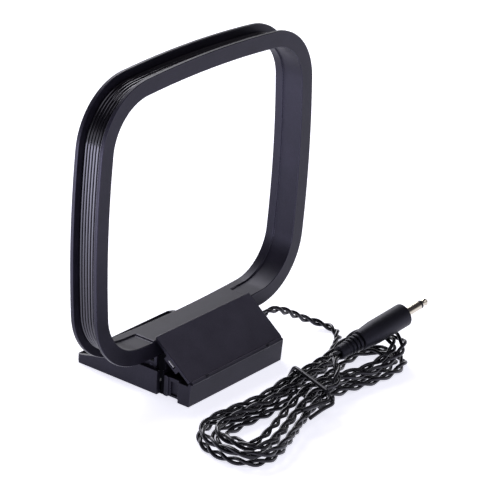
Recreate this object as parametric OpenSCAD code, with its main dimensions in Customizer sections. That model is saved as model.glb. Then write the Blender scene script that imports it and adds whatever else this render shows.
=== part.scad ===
// Loop antenna on a folding stand, with a twisted lead and a jack plug.
// Millimetres, +Z up. X runs along the loop's width and Y from the stand's front to its back.
// The origin is on the floor under the middle of the stand.

/* [Loop frame] */
// Width of the loop over its bowed sides
loop_w = 130; // [110:1:150]
// Height of the loop over its bowed top and bottom
loop_h = 119.3; // [100:0.1:140]
// Depth of the loop from the front flange to the rear flange
loop_depth = 13.2; // [13.1:0.1:15]
// Height of the loop's lowest point above the floor
loop_lift = 14.4; // [13.5:0.1:18]
// Distance from the foot of the stand's front wall back to the loop's middle plane
loop_set = 24.7; // [23.5:0.1:27]
// Outer radius of the loop's corners
corner_r = 27; // [20:0.5:34]
// How far each side bulges between its corners
side_bow = 1.3; // [0.6:0.1:2]
// How far the top bulges between its corners
top_bow = 1.5; // [0.6:0.1:2.5]
// How far the bottom bulges between its corners
bottom_bow = 1.1; // [0.6:0.1:1.6]
// Width of the rim, from its outer edge to its inner face
rim_w = 7.3; // [7:0.1:9]
// Thickness of each flange beside the winding
flange_t = 1.6; // [1.2:0.1:1.6]
// Wall of the hub that the winding lies on
hub_t = 2.5; // [2.3:0.1:2.7]
// Depth of the shallow band round the inner face
band_depth = 0.6; // [0.3:0.1:0.8]
// Plain lip that the band leaves at the rear edge
band_lip = 3.8; // [2:0.1:4.5]
// Half length of the raised pad above the stand
pad_half = 30; // [24:0.5:36]

/* [Loop legs] */
// Thickness of each leg under the loop
leg_t = 1.6; // [1.2:0.1:2.4]
// Setback of the legs from the loop's front and rear faces
leg_set = 0.3; // [0.2:0.1:1]
// Width of the posts that join a leg to the flanges
leg_post = 1.4; // [1:0.1:1.6]
// Height of the bridge between those posts
leg_bridge_h = 12.4; // [8:0.1:13]
// Radius of the snap nub on each leg
nub_r = 0.5; // [0.4:0.05:0.6]
// How far the snap nub stands out
nub_out = 0.25; // [0.1:0.05:0.28]

/* [Winding] */
// Diameter of the wound wire
wire_d = 1; // [0.8:0.05:1]
// Turns side by side
turns = 7; // [4:1:7]
// Gap between the outer turns and the flanges
wire_side = 0.21; // [0.2:0.01:0.24]
// Gap between the hub and the wire
hub_gap = 0.5; // [0.45:0.05:0.6]

/* [Stand base] */
// Width of the base
base_w = 58.3; // [50:0.1:70]
// Depth of the base from the foot of its front wall to its rear
base_d = 58.1; // [50:0.1:75]
// Thickness of the floor plate
floor_t = 1.6; // [1.2:0.1:2.2]
// Thickness of the base's walls
wall_t = 1.8; // [1.4:0.1:2.4]
// Height of the side walls beside the slot
side_h = 10; // [9:0.1:10.4]
// Height of the rear wall
rear_h = 3.3; // [2.4:0.1:5]
// Thickness of the rear wall at its top
rear_top_t = 0.5; // [0.4:0.1:1.2]
// How far the side walls stay full height behind the loop's middle plane
side_flat = 4; // [0:0.5:10]
// Chamfer on the rear corners
rear_chamfer = 1.6; // [1:0.1:4]
// Width of the slot behind the front block
slot_w = 2.2; // [2:0.1:3]
// Distance from the loop's middle plane forward to the middle of the slot
slot_set = 9.75; // [9.6:0.05:10.2]
// Height of the front block
block_h = 8.8; // [7.8:0.1:8.9]
// Inset of the block's sides between the slot and the corner posts
block_inset = 1.5; // [0.8:0.1:2]
// Gap under the block's sides
block_gap = 0.6; // [0.3:0.1:1]
// Depth of the corner posts
post_d = 5.6; // [4.5:0.1:7]
// Depth of the panelled recess in the block's side
recess_d = 0.8; // [0.4:0.1:1]
// Length of that recess
recess_l = 3.3; // [2.5:0.1:4]
// How far the upright ribs stand out
rib_out = 0.4; // [0.2:0.1:0.7]
// Width of those ribs
rib_w = 0.7; // [0.5:0.1:1]

/* [Front wall and hinges] */
// Thickness of the front wall
front_t = 1.4; // [1.2:0.1:1.6]
// How far the front wall leans forward at the hinge
wall_lean = 0.75; // [0.4:0.05:1.2]
// Height of the lower hinge line
hinge_h = 9.8; // [9.6:0.1:10.4]
// Radius of the hinge knuckles
knuckle_r = 0.95; // [0.9:0.05:1.1]
// Radius of the hinge pins
pin_r = 0.4; // [0.3:0.05:0.45]
// Running clearance between a pin and its bore
pin_gap = 0.05; // [0.03:0.01:0.09]
// Width of each knuckle
knuckle_w = 2.4; // [1.8:0.1:4]
// Distance of the lower knuckles from the middle
knuckle_x = 19; // [12:0.5:22]
// Clearance round a moving edge
edge_gap = 0.3; // [0.25:0.05:0.4]

/* [Prop panel] */
// Inset of the panel's ends from the base's sides
panel_inset = 0.15; // [0.1:0.05:1]
// Thickness of the panel
panel_t = 1.4; // [1.2:0.1:1.6]
// Height of the panel's upper edge line above the loop's inner face
seat_rise = 1.3; // [1:0.1:1.8]
// Chamfer on the panel's lower corners
panel_chamfer = 0.8; // [0.4:0.1:2]
// Distance from the panel's upper edge line down to the side lugs
lug_start = 7.2; // [6.5:0.1:8]
// Length of the side lugs
lug_l = 7.8; // [6:0.1:8]
// Depth of the side lugs under the panel
lug_drop = 2; // [1.6:0.1:2.2]
// Thickness of the side lugs
lug_t = 1.2; // [0.8:0.1:1.4]
// Length of the window in each lug
window_l = 3.9; // [3:0.1:4.4]
// Wall left below that window
window_wall = 0.6; // [0.4:0.1:0.8]

/* [Upright plate] */
// Thickness of the upright plate that the panel rests on
plate_t = 1.2; // [1:0.1:1.5]

/* [Lead] */
// Diameter of the twisted pair
lead_d = 3.2; // [3:0.05:3.2]
// Loops in the hank
hank_turns = 4.5; // [4.5:1:4.5]
// Half length of the hank
hank_half = 61; // [58:0.5:62]
// Half width of the hank where the tie draws it in
waist_half = 10; // [10:0.1:11]
// Extra half width of the left loops
left_lobe = 30; // [27:0.5:33]
// Extra half width of the right loops
right_lobe = 22; // [20:0.5:24]
// Spacing of neighbouring strands at the waist
waist_step = 3.9; // [3.85:0.05:4]
// Spacing of neighbouring strands in the left loops
left_step = 6.2; // [5:0.1:6.5]
// Spacing of neighbouring strands in the right loops
right_step = 3.9; // [3.85:0.05:4]
// Rise from the lower layer to the upper
hank_rise = 3.7; // [3.65:0.05:3.8]
// Thickness of the wire tie
tie_d = 1.4; // [1.2:0.1:1.5]
// Length of the tie along the hank
tie_w = 1.4; // [1:0.1:2]
// Diameter of the tie's twisted ends
tie_end_d = 1.3; // [1:0.1:1.5]
// Length of those ends
tie_end_l = 19; // [12:0.5:22]

/* [Plug] */
// Radius of the plug's barrel
barrel_r = 4.85; // [4.5:0.05:4.9]
// Length of the barrel
barrel_l = 17.9; // [14:0.1:18.5]
// Length of the cone behind the barrel
cone_l = 7.6; // [6:0.1:9]
// Length of the ribbed boot
boot_l = 11.4; // [10:0.1:12.5]
// Difference in radius from one rib to the next
rib_taper = 0.35; // [0.1:0.05:0.4]
// Radius of the boot's core at the lead
boot_r = 2.1; // [1.9:0.05:2.3]
// Radius of the first rib on the boot
rib_r = 3.7; // [3.4:0.1:3.9]
// Number of ribs on the boot
rib_count = 4; // [3:1:5]
// Radius of the plug's pin
jack_r = 1.75; // [1.7:0.01:1.8]
// Length of the pin in front of its collar
jack_l = 14; // [13:0.5:16]
// Radius of the collar between the barrel's face and the pin
collar_r = 2.5; // [2.2:0.1:2.8]
// Length of that collar in front of the barrel
collar_l = 0.3; // [0.2:0.1:2]
// Distance from the pin's shoulder to the insulating ring
ring_at = 9; // [8:0.1:9.5]
// Length of the insulating ring
ring_l = 0.8; // [0.6:0.1:1.2]
// Radius of the rod that carries the tip
rod_r = 0.6; // [0.5:0.05:0.7]
// Outer radius of the insulating tube
tube_r = 1.1; // [1:0.05:1.2]
// Depth of the solder ends behind the pin's shoulder
tail_l = 9; // [7:0.5:11]
// Step between the solder ends of the two poles
solder_step = 2; // [1.5:0.1:2.2]
// Length of the pin's tip behind its point
tip_l = 2.4; // [2:0.1:3]
// Depth of the catch groove in the tip
tip_cut = 0.5; // [0.3:0.05:0.6]
// Radius of the hard core inside the barrel
core_r = 3.3; // [3:0.05:3.6]
// Clearance between the plug's nested pieces
nest_gap = 0.05; // [0.03:0.01:0.1]
// Skin of the barrel's face in front of the hard core
skin_t = 1; // [0.6:0.1:1.5]

/* [Hidden] */
frame_colour = [0.2, 0.2, 0.22];
wire_colour = [0.06, 0.06, 0.07];
metal_colour = [0.72, 0.7, 0.66];
round_fn = 64;
bow_fn = 720;
eps = 0.01;
big = 200;
// Where the stand's front and rear stand, so that the origin is midway between its extremes
knuckle_out = wall_lean + knuckle_r - front_t / 2;
front_y = (knuckle_out - base_d) / 2;
rear_y = front_y + base_d;
loop_y = front_y + loop_set;
loop_z = loop_lift + loop_h / 2;
// The panel's hinge line and the end of its middle plane, as [y, z]
foot = [front_y + front_t / 2 - wall_lean, hinge_h];
head = [loop_y - loop_depth / 2 - panel_t / 2, loop_lift + rim_w + seat_rise];
panel_len = norm(head - foot);
panel_angle = atan2(head.y - foot.y, head.x - foot.x);
slope = [cos(panel_angle), sin(panel_angle)];
outward = [-slope.y, slope.x];
// Slot, and the plate that stands behind it up to the panel's underside
slot_y = loop_y - slot_set;
slot_back = slot_y + slot_w / 2;
slot_front = slot_y - slot_w / 2;
plate_front = slot_y - plate_t / 2;
plate_top = foot.y + (plate_front - foot.x) * tan(panel_angle) - panel_t / 2 / slope.x - edge_gap;
inner_half = base_w / 2 - wall_t;
leg_x = inner_half - edge_gap - leg_t / 2;
post_back = front_y + post_d;
// Circles of the loop's outline, in the plane of the loop
half_w = loop_w / 2;
half_h = loop_h / 2;
function bow_r(half, bow) = (half * half + bow * bow) / (2 * bow);
side_r = bow_r(half_h - corner_r, side_bow);
top_r = bow_r(half_w - corner_r, top_bow);
bottom_r = bow_r(half_w - corner_r, bottom_bow);
side_c = [half_w - side_r, 0];
top_c = [0, half_h - top_r];
bottom_c = [0, bottom_r - half_h];
// Centre of the corner circle that touches two bows from inside
function meet(c1, r1, c2, r2) = let (
    between = c2 - c1, d = norm(between), a = (r1 * r1 - r2 * r2 + d * d) / (2 * d),
    h = sqrt(r1 * r1 - a * a), m = c1 + between * a / d, n = [-between.y, between.x] / d,
    p = m + n * h, q = m - n * h) p.x > q.x ? p : q;
upper = meet(side_c, side_r - corner_r, top_c, top_r - corner_r);
lower = meet(side_c, side_r - corner_r, bottom_c, bottom_r - corner_r);
function bearing(from, to) = atan2(to.y - from.y, to.x - from.x);
upper_side_a = bearing(side_c, upper);
upper_top_a = bearing(top_c, upper);
lower_side_a = bearing(side_c, lower);
lower_bottom_a = bearing(bottom_c, lower);
function polar(c, r, a) = c + r * [cos(a), sin(a)];
function flip(p) = [-p.x, p.y];
// Height of the loop's bottom bow at a place along it, inset by d
function bottom_at(x, d) = bottom_c.y - sqrt(pow(bottom_r - d, 2) - x * x);

// Tubes swept along points: rings square to the path, turned about a fixed direction
function unit(v) = v / norm(v);
function heading(p, i) = unit(p[min(i + 1, len(p) - 1)] - p[max(i - 1, 0)]);
function ring(p, i, r, sides, ref) = let (t = heading(p, i), a = unit(cross(t, ref)), b = cross(t, a))
    [for (j = [0:sides - 1]) p[i] + r * (cos(360 * j / sides) * a + sin(360 * j / sides) * b)];
module tube(p, d, sides, ref) {
    last = (len(p) - 1) * sides;
    polyhedron(
        points = [for (i = [0:len(p) - 1]) each ring(p, i, d / 2, sides, ref)],
        faces = concat(
            [for (i = [0:len(p) - 2], j = [0:sides - 1])
                [i * sides + j, (i + 1) * sides + j, (i + 1) * sides + (j + 1) % sides]],
            [for (i = [0:len(p) - 2], j = [0:sides - 1])
                [i * sides + j, (i + 1) * sides + (j + 1) % sides, i * sides + (j + 1) % sides]],
            [for (j = [1:sides - 2]) [0, j, j + 1]],
            [for (j = [1:sides - 2]) [last, last + j + 1, last + j]]));
}
// Least gap of a tube to itself, between points and straight runs at least skip rings apart
function to_run(q, a, b) = let (ab = b - a, t = max(0, min(1, (q - a) * ab / (ab * ab))))
    norm(q - a - t * ab);
function least_gap(p, d, skip) = min([for (i = [0:len(p) - 1], j = [0:len(p) - 2])
    if (j > i + skip || j + 1 < i - skip) to_run(p[i], p[j], p[j + 1])]) - d;
function ramp(t) = let (u = max(0, min(1, t))) u * u * (3 - 2 * u);

// The winding: 24 rings a turn, each turn flat but for one step sideways on the bottom bar
turn_rings = 24;
groove_inset = rim_w - hub_t;
wire_inset = groove_inset - hub_gap - wire_d / 2;
ring_swell = 0.3;
wind_start_x = leg_x - 7.25;
wind_mid_x = -12;
wind_end_x = leg_x + 6.75;
wire_pitch = (loop_depth - 2 * (flange_t + wire_side) - wire_d) / (turns - 1);
first_y = loop_y - (turns - 1) * wire_pitch / 2;
function corner_point(c, a0, a1, t) = polar(c, corner_r - wire_inset + ring_swell, a0 + (a1 - a0) * t);
function around(k) = k == 0 ? [wind_start_x, bottom_at(wind_start_x, wire_inset)]
    : k == 1 ? [wind_mid_x, bottom_at(wind_mid_x, wire_inset)]
    : k < 6 ? flip(corner_point(lower, lower_bottom_a, lower_side_a, (k - 2) / 3))
    : k == 6 ? [wire_inset - half_w, 0]
    : k < 12 ? flip(corner_point(upper, upper_side_a, upper_top_a, (k - 7) / 4))
    : k == 12 ? [0, half_h - wire_inset]
    : k < 18 ? corner_point(upper, upper_top_a, upper_side_a, (k - 13) / 4)
    : k == 18 ? [half_w - wire_inset, 0]
    : k < 23 ? corner_point(lower, lower_side_a, lower_bottom_a, (k - 19) / 3.25)
    : [wind_end_x, bottom_at(wind_end_x, wire_inset)];
wind_path = [for (n = [0:turns - 1], k = [0:turn_rings - 1]) let (p = around(k))
    [p.x, first_y + n * wire_pitch, p.y + loop_z]];
wind_last = len(wind_path) - 1;

// The wires' ends: beside each other at the lead, then under the front flange and up into the groove
lead_start = [leg_x + 11.75, slot_y, loop_lift - 1.2];
wire_split = 0.8;
function beside(place, offsets) = [for (o = offsets) place + o];
start_route = concat(
    beside(lead_start, [[0, 0, wire_split], [-1.4, 0, 0.8], [-3, 0.2, 0.75], [-4.6, 0.7, 0.65], [-6.4, 1.7, 0.5],
        [-8, 3, 0.4], [-9.2, 4.2, 0.5]]),
    beside(wind_path[0], [[8.8, -0.36, -4.28], [7.6, -0.03, -3.38], [6.2, -0.03, -2.18], [4.6, -0.05, -1.08],
        [3, -0.05, -0.38]]),
    [wind_path[0] - 1.4 * heading(wind_path, 0), wind_path[0]]);
end_route = concat(
    beside(lead_start, [[0, 0, -wire_split], [-1.4, 0, -0.8], [-3, 0.5, -0.85], [-4.4, 1.8, -0.8],
        [-5.6, 3.4, -0.4], [-6.6, 5, 0.4], [-7.4, 6.6, 1.6]]),
    beside(wind_path[wind_last], [[-3, -5.84, -3.43], [-3.5, -4.04, -2.93], [-3.8, -2.44, -2.73],
        [-3.8, -1.04, -2.23], [-3.4, -0.24, -1.53], [-2.6, -0.04, -0.63]]),
    [wind_path[wind_last] + 1.4 * heading(wind_path, wind_last), wind_path[wind_last]]);

// The lead's free stretches: chosen by hand, the last point of each is the hank's end or the boot
lead_r = lead_d / 2;
under_loop = [0, loop_y, 0];
run_route = concat(
    beside(lead_start, [[0, 0, 0], [3, 0, 0], [6.5, -0.5, -0.7], [10, -1.2, -2.2], [14, -2, -4.4],
        [18, -3, -6.8], [22, -4.6, -9]]),
    beside(under_loop, [[63.4, -17.15, 2.6], [65, -20.95, 1.8], [64.4, -25.15, 1.6], [61.4, -29.15, 1.6],
        [57, -32.35, 1.6], [51, -35.35, 1.6], [44, -37.95, 1.6], [37, -39.95, 1.6], [30, -41.35, 1.9],
        [23.5, -42.35, 2.5], [17.5, -43.05, 3.1], [13, -43.45, 3.5]]));
tail_route = beside(under_loop, [[12.5, -63.35, 8.1], [15.5, -62.25, 9.5], [18.5, -60.35, 10.5],
    [22, -57.05, 11], [25.5, -53.95, 11.1], [28.5, -51.85, 10.8]]);

// The hank: 24 rings a loop, spiralling in and out in two layers, drawn in at the tie
hank_x = 6;
hank_y = loop_y - 53.65;
hank_bend = 0.12;
tie_x = 10;
tie_reach = 26;
tie_hump = tie_d + 0.4;
prop_lift = 4.4;
prop_from = 36;
prop_to = 66;
hank_q = (hank_turns - 0.5) / 2;
function tie_lift(x) = abs(x - tie_x) < tie_reach
    ? tie_hump * (1 + cos(180 * (x - tie_x) / tie_reach)) / 2 : 0;
function hank_line(a) = let (c = cos(a), x = hank_x + hank_half * c, lobe = c < 0 ? left_lobe : right_lobe)
    [x, hank_y + hank_bend * min(0, x - hank_x) + sin(a) * (waist_half + lobe * c * c)];
function hank_step(a) = let (c = cos(a)) waist_step + ((c < 0 ? left_step : right_step) - waist_step) * c * c;
function hank_point(s) = let (
    a = 90 + 360 * s, q = min(s, hank_q, hank_turns - s), dir = unit(hank_line(a + 1) - hank_line(a - 1)),
    p = hank_line(a) + q * hank_step(a) * [-dir.y, dir.x], up = ramp((s - hank_q - 0.04) / 0.42))
    [p.x, p.y, lead_r + hank_rise * up + tie_lift(p.x)
        + prop_lift * up * ramp((p.x - prop_from) / (prop_to - prop_from))];
hank_rings = round(hank_turns * turn_rings);
hank_path = [for (i = [0:hank_rings]) hank_point(i / turn_rings)];

// The plug: its boot's end lies on the hank, and it points along the hank with its pin raised
plug_at = [32, loop_y - 50.95, 11];
plug_turn = -8;
plug_tilt = 10;
plug_dir = [cos(plug_tilt) * cos(plug_turn), cos(plug_tilt) * sin(plug_turn), sin(plug_tilt)];
body_l = boot_l + cone_l + barrel_l + collar_l;

hank_start = heading(hank_path, 0);
hank_end = heading(hank_path, hank_rings);
run_path = concat(run_route, [hank_path[0] - lead_d * hank_start, hank_path[0]]);
tail_path = concat([hank_path[hank_rings], hank_path[hank_rings] + lead_d * hank_end], tail_route,
    [plug_at - lead_d * plug_dir, plug_at]);
function total(v, i = 0) = i < len(v) ? v[i] + total(v, i + 1) : 0;
function path_length(p) = total([for (i = [1:len(p) - 1]) norm(p[i] - p[i - 1])]);
echo(winding_gap = least_gap(wind_path, wire_d, 12));
echo(hank_gap = least_gap(hank_path, lead_d, 10));
echo(lead_length = path_length(run_path) + path_length(hank_path) + path_length(tail_path));

// A solid between two heights of a plan
module slab(z0, z1) { translate([0, 0, z0]) linear_extrude(z1 - z0) children(); }
// A side view, drawn as [y, z], given a thickness from x0 to x1
module across(x0, x1) { translate([x0, 0, 0]) rotate([90, 0, 90]) linear_extrude(x1 - x0) children(); }
module both_sides() { for (side = [0, 1]) mirror([side, 0, 0]) children(); }
module rod(at, r, x0, x1) { across(x0, x1) translate(at) circle(r, $fn = round_fn); }
module box(low, high) { translate(low) cube(high - low); }

// Outline of the loop inset by d: chords, bows and corner discs
module outline(d) {
    ur = polar(side_c, side_r - d, upper_side_a);
    ut = polar(top_c, top_r - d, upper_top_a);
    lr = polar(side_c, side_r - d, lower_side_a);
    lb = polar(bottom_c, bottom_r - d, lower_bottom_a);
    polygon([ur, ut, flip(ut), flip(ur), flip(lr), flip(lb), lb, lr]);
    for (side = [0, 1]) mirror([side, 0]) {
        translate(upper) circle(corner_r - d + eps, $fn = 2 * round_fn);
        translate(lower) circle(corner_r - d + eps, $fn = 2 * round_fn);
        bow(side_c, side_r - d, [ur, ur + [side_bow * 2, 0], lr + [side_bow * 2, 0], lr]);
    }
    bow(top_c, top_r - d, [ut, ut + [0, top_bow * 2], flip(ut) + [0, top_bow * 2], flip(ut)]);
    bow(bottom_c, bottom_r - d, [lb, lb - [0, bottom_bow * 2], flip(lb) - [0, bottom_bow * 2], flip(lb)]);
}
module bow(c, r, window) {
    intersection() {
        translate(c) circle(r, $fn = bow_fn);
        polygon(window);
    }
}
// A ring of the loop between two insets, from one depth to another
module loop_ring(outer, inner, y0, y1) {
    translate([0, y1, loop_z]) rotate([90, 0, 0]) linear_extrude(y1 - y0) difference() {
        outline(outer);
        outline(inner);
    }
}

module loop_frame() {
    face_y = loop_y - loop_depth / 2;
    back_y = loop_y + loop_depth / 2;
    color(frame_colour) {
        difference() {
            loop_ring(0, rim_w, face_y, back_y);
            loop_ring(-2, groove_inset, face_y + flange_t, back_y - flange_t);
            difference() {
                loop_ring(rim_w - band_depth, rim_w + 1, face_y - eps, back_y - band_lip);
                box([-pad_half, face_y - 1, 0], [pad_half, back_y, loop_z]);
            }
        }
        both_sides() {
            across(leg_x - leg_t / 2, leg_x + leg_t / 2) leg_outline(face_y + leg_set, back_y - leg_set);
            rod([loop_y - 3.9, side_h + nub_r + 0.2], nub_r, leg_x, leg_x + leg_t / 2 + nub_out);
        }
    }
}
// A leg: a bridge on the base's floor with a post under each flange, open below the winding
module leg_outline(y0, y1) {
    top = loop_lift + bottom_at(leg_x, 0) + half_h + flange_t / 2;
    polygon([[y0, floor_t], [y1, floor_t], [y1, top], [y1 - leg_post, top], [y1 - leg_post, leg_bridge_h],
        [y0 + leg_post, leg_bridge_h], [y0 + leg_post, top], [y0, top]]);
}

module loop_winding() { color(wire_colour) tube(wind_path, wire_d, 6, [0, 1, 0]); }
module winding_start_tail() { color(wire_colour) tube(start_route, wire_d, 8, [0, 0, 1]); }
module winding_end_tail() { color(wire_colour) tube(end_route, wire_d, 8, [0, 1, 0]); }

// The base seen from above
module base_plan() {
    w = base_w / 2;
    c = rear_chamfer;
    polygon([[-w, front_y], [w, front_y], [w, rear_y - c], [w - c, rear_y], [c - w, rear_y], [-w, rear_y - c]]);
}
module stand_base() {
    w = base_w / 2;
    lean_at = wall_lean * block_h / hinge_h;
    color(frame_colour) {
        difference() {
            union() {
                slab(0, floor_t) difference() {
                    base_plan();
                    both_sides() translate([w - block_inset, post_back]) square([big, slot_front - post_back]);
                    both_sides() translate([inner_half, slot_front - eps]) square([big, slot_w + eps]);
                }
                intersection() {
                    slab(0, side_h) base_plan();
                    union() {
                        both_sides() across(inner_half, w) side_outline();
                        across(-w, w) rear_outline();
                    }
                }
                across(-w, w) front_outline();
                box([block_inset - w, slot_front - wall_t, 0], [w - block_inset, slot_front, block_h]);
                box([-inner_half, plate_front, 0], [inner_half, plate_front + plate_t, side_h]);
                box([-leg_x, plate_front, 0], [leg_x, plate_front + plate_t, plate_top]);
                both_sides() {
                    across(w - block_inset - wall_t, w)
                        polygon([[front_y, 0], [post_back, 0], [post_back, block_h], [front_y - lean_at, block_h]]);
                    box([w - block_inset - wall_t, post_back - eps, 0], [w - block_inset, slot_front, block_h]);
                    block_rib(slot_front - 2.1);
                    block_rib(post_back + rib_w);
                    leg_pocket(loop_y - loop_depth / 2 + leg_set, loop_y + loop_depth / 2 - leg_set);
                }
            }
            both_sides() {
                box([w - block_inset - recess_d, post_back + 2 * rib_w, floor_t],
                    [w, post_back + 2 * rib_w + recess_l, block_h - floor_t]);
                box([w - block_inset - wall_t, post_back + eps, -1], [w, slot_front - wall_t, block_gap]);
                rod(foot, knuckle_r + edge_gap / 2, -eps, knuckle_x - knuckle_w / 2);
                rod(foot, knuckle_r + edge_gap / 2, knuckle_x + knuckle_w / 2, w + 1);
                rod(foot, pin_r + pin_gap, knuckle_x - knuckle_w, knuckle_x + knuckle_w);
            }
        }
        both_sides() difference() {
            rod(foot, knuckle_r, knuckle_x - knuckle_w / 2, knuckle_x + knuckle_w / 2);
            rod(foot, pin_r + pin_gap, knuckle_x - knuckle_w, knuckle_x + knuckle_w);
        }
    }
}
// Side wall: a low wedge that rises to full height beside the slot
module side_outline() {
    polygon([[slot_back, 0], [rear_y, 0], [rear_y, rear_h], [loop_y + side_flat, side_h], [slot_back, side_h]]);
}
// Rear wall: thinner towards its top
module rear_outline() {
    polygon([[rear_y - wall_t, 0], [rear_y, 0], [rear_y, rear_h], [rear_y - rear_top_t, rear_h]]);
}
// Front wall: leans forward to the hinge line
module front_outline() {
    polygon([[front_y, 0], [front_y + front_t, 0], foot + [front_t / 2, 0], foot - [front_t / 2, 0]]);
}
module block_rib(y) {
    w = base_w / 2 - block_inset;
    box([w - wall_t, y - rib_w / 2, block_gap], [w + rib_out, y + rib_w / 2, block_h]);
}
// Low ribs that a leg stands between
module leg_pocket(y0, y1) {
    for (y = [y0 - edge_gap - wall_t / 2, y1 + edge_gap + wall_t / 2])
        box([inner_half - 3 * wall_t, y - wall_t / 2, 0], [inner_half + eps, y + wall_t / 2, 3 * floor_t]);
}

// Places things in the panel's own frame: x across, y up the slope from its foot, z outwards
module on_panel() { translate([0, foot.x, foot.y]) rotate([panel_angle, 0, 0]) children(); }
module prop_panel() {
    w = base_w / 2 - panel_inset;
    c = panel_chamfer;
    reach = knuckle_w / 2 + edge_gap;
    over = panel_t + edge_gap;
    color(frame_colour) {
        difference() {
            on_panel() {
                slab(-panel_t / 2, panel_t / 2) polygon([[-w, c], [c - w, 0], [w - c, 0], [w, c],
                    [w, panel_len + over], [-w, panel_len + over]]);
                rod([0, 0], panel_t / 2, c - w, w - c);
                both_sides() box([w - lug_t, panel_len - lug_start - lug_l, -panel_t / 2 - lug_drop],
                    [w, panel_len - lug_start, 0]);
            }
            box([-big, loop_y - loop_depth / 2 - edge_gap, 0], [big, loop_y, big]);
            on_panel() both_sides() {
                box([knuckle_x - reach, -panel_t, -panel_t], [knuckle_x + reach, knuckle_r + edge_gap, panel_t]);
                box([w - lug_t - 1, panel_len - lug_start - (lug_l + window_l) / 2,
                    window_wall - panel_t / 2 - lug_drop],
                    [w + 1, panel_len - lug_start - (lug_l - window_l) / 2, -panel_t / 2]);
            }
        }
        on_panel() both_sides() rod([0, 0], pin_r, knuckle_x - reach - eps, knuckle_x + reach + eps);
    }
}

module lead_run() { color(wire_colour) tube(run_path, lead_d, 8, [0, 0, 1]); }
module lead_hank() { color(wire_colour) tube(hank_path, lead_d, 6, [0, 0, 1]); }
module lead_tail() { color(wire_colour) tube(tail_path, lead_d, 8, [0, 0, 1]); }

// The tie: a flat ring round the waist, with its ends twisted and laid on the floor
module hank_tie() {
    gap = 0.3;
    half = waist_half + lead_r + gap;
    high = tie_d + 2 * lead_r + hank_rise + 0.1 + 2 * gap;
    knot = [hank_y - half - 2 * tie_d, tie_end_d];
    color(wire_colour) {
        across(tie_x - tie_w / 2, tie_x + tie_w / 2) difference() {
            translate([hank_y, (high + tie_d) / 2]) square([2 * (half + tie_d), high + tie_d], center = true);
            translate([hank_y, (high + tie_d) / 2]) square([2 * half, high - tie_d], center = true);
        }
        rod(knot, tie_end_d, tie_x - 2 * tie_w, tie_x + tie_w);
        box([tie_x - tie_w / 2, knot.x, 0], [tie_x + tie_w / 2, hank_y - half, tie_d]);
        for (turn = [4, 10]) translate([tie_x - tie_w, knot.x, tie_end_d / 2])
            rotate([0, -90, turn]) cylinder(d = tie_end_d, h = tie_end_l, $fn = 24);
    }
}

// Places things along the plug: x runs from the pin's shoulder towards its tip
module on_plug() { translate(plug_at) rotate([0, -plug_tilt, plug_turn]) translate([body_l, 0, 0]) children(); }
// A turned piece, drawn as [x, radius] along the plug
module turned() {
    rotate([0, 90, 0]) rotate([0, 0, 90]) rotate_extrude($fn = round_fn) rotate(90) mirror([0, 1]) children();
}
module plug_overmould() {
    face_x = -collar_l;
    cone_x = face_x - barrel_l;
    boot_x = cone_x - cone_l;
    pitch = boot_l / rib_count;
    color(wire_colour) on_plug() turned() difference() {
        union() {
            polygon([[face_x, 0], [face_x, barrel_r - 0.3], [face_x - 0.3, barrel_r], [cone_x, barrel_r],
                [boot_x, rib_r + 0.4], [boot_x, boot_r], [boot_x - boot_l, boot_r], [boot_x - boot_l, 0]]);
            for (i = [0:rib_count - 1]) translate([boot_x - (i + 0.75) * pitch, 0])
                square([pitch / 2, rib_r - i * rib_taper]);
        }
        translate([-tail_l - 1, 0]) square([tail_l + 1 + face_x - skin_t, core_r + nest_gap]);
        translate([face_x - skin_t - eps, 0]) square([skin_t + 1, collar_r + nest_gap]);
    }
}
module plug_premould() {
    color([0.85, 0.84, 0.8]) on_plug() turned() translate([-tail_l - 1 + nest_gap, collar_r + nest_gap])
        square([tail_l + 1 - collar_l - skin_t - 2 * nest_gap, core_r - collar_r - nest_gap]);
}
module plug_sleeve() {
    bore = tube_r + nest_gap;
    color(metal_colour) on_plug() turned() polygon([[2 * solder_step - tail_l, bore], [ring_at - nest_gap, bore],
        [ring_at - nest_gap, jack_r], [0, jack_r], [0, collar_r], [2 * solder_step - tail_l, collar_r]]);
}
module plug_insulator() {
    bore = rod_r + nest_gap;
    color(wire_colour) on_plug() turned() polygon([[solder_step - tail_l, bore], [ring_at + ring_l, bore],
        [ring_at + ring_l, jack_r], [ring_at, jack_r], [ring_at, tube_r], [solder_step - tail_l, tube_r]]);
}
module plug_tip() {
    neck = ring_at + ring_l + nest_gap;
    color(metal_colour) on_plug() turned() polygon([[-tail_l, 0], [-tail_l, rod_r], [neck, rod_r],
        [neck, jack_r], [jack_l - tip_l, jack_r], [jack_l - 0.8 * tip_l, jack_r - tip_cut],
        [jack_l - 0.6 * tip_l, jack_r - 0.6 * tip_cut], [jack_l - 0.1 * tip_l, jack_r / 4], [jack_l, 0]]);
}

loop_frame();
loop_winding();
winding_start_tail();
winding_end_tail();
stand_base();
prop_panel();
lead_run();
lead_hank();
lead_tail();
hank_tie();
plug_overmould();
plug_premould();
plug_sleeve();
plug_insulator();
plug_tip();
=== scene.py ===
# %% [markdown]
# # Loop antenna on a folding stand
# The object is a flat bobbin of black plastic, wound with wire, that stands in a small tray. A twisted pair
# of wires leaves the bobbin, is tied up in a hank and ends in a jack plug. The shapes that move come from a
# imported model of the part, which is loaded first and stays where it is. Everything built here is laid over it.

# %% Load the part
import math

import bmesh
import bpy
import numpy as np
from mathutils import Matrix, Vector


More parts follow.
